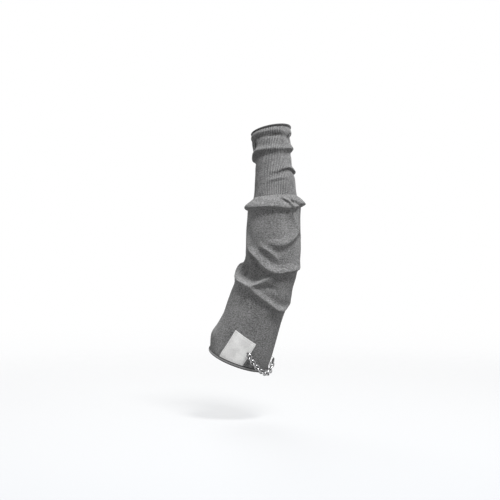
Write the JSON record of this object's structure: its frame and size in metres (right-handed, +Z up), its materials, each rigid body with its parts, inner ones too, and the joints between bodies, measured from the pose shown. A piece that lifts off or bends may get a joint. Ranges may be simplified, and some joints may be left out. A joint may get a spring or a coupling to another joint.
{
  "type": "cut resistant sleeve",
  "caption": "Knit arm sleeve in its worn form, with a ribbed cuff at the wrist, elbow folds, overlocked edges, a sewn label and a short metal chain at the upper arm.",
  "frame": {"origin": "middle of the upper arm opening, at the hem", "axes": "+Z up towards the wrist along the forearm, +X to the right of the pictured side, -Y out of that side"},
  "size_m": [0.1786, 0.1206, 0.4627],
  "materials": {
    "knit_body": "plain jersey knit, dull, mid grey melange",
    "knit_cuff": "rib knit, dull, light grey melange",
    "edging_thread": "dark overlock thread",
    "label_cloth": "white woven tape, bare of print",
    "chain_metal": "polished nickel plated wire"
  },
  "bodies": {
    "root": {"sleeve_body": "knit_body", "cuff_rib": "knit_cuff", "cuff_edge": "edging_thread", "hem_edge": "edging_thread", "label": "label_cloth", "chain_link_1": "chain_metal", "chain_link_2": "chain_metal", "chain_link_3": "chain_metal", "chain_link_4": "chain_metal", "chain_link_5": "chain_metal", "chain_link_6": "chain_metal", "chain_link_7": "chain_metal", "chain_link_8": "chain_metal", "chain_link_9": "chain_metal", "chain_link_10": "chain_metal", "chain_link_11": "chain_metal", "chain_link_12": "chain_metal", "chain_link_13": "chain_metal", "chain_link_14": "chain_metal", "chain_link_15": "chain_metal"}
  },
  "joints": []
}
